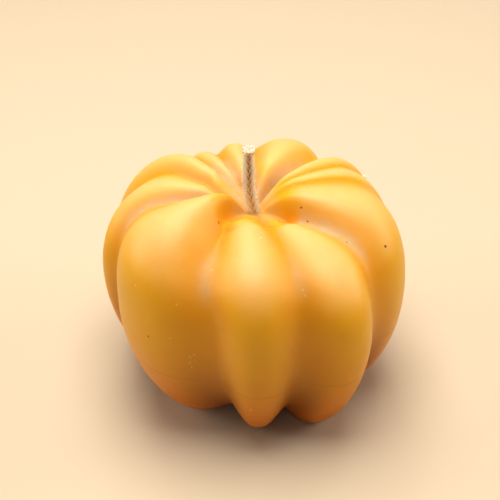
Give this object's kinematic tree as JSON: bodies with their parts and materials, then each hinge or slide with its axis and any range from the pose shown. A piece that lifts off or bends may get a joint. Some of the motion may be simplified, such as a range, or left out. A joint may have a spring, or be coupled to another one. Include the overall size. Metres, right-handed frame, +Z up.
{
  "type": "pumpkin-shaped candle",
  "caption": "Small squat candle cast in yellow beeswax as a ribbed pumpkin, with a braided cotton wick standing in the dimple on top; burns, or stands as an ornament.",
  "frame": {"origin": "middle of the candle's footprint box, on the surface that it stands on", "axes": "+Z up along the wick, -Y towards the front that the picture shows, +X to the right seen from the front"},
  "size_m": [0.069, 0.0684, 0.0617],
  "materials": {
    "beeswax": "satin",
    "cotton_wick": "braided and primed with wax"
  },
  "bodies": {
    "root": {"wax_body": "beeswax", "wick": "cotton_wick"}
  },
  "joints": []
}
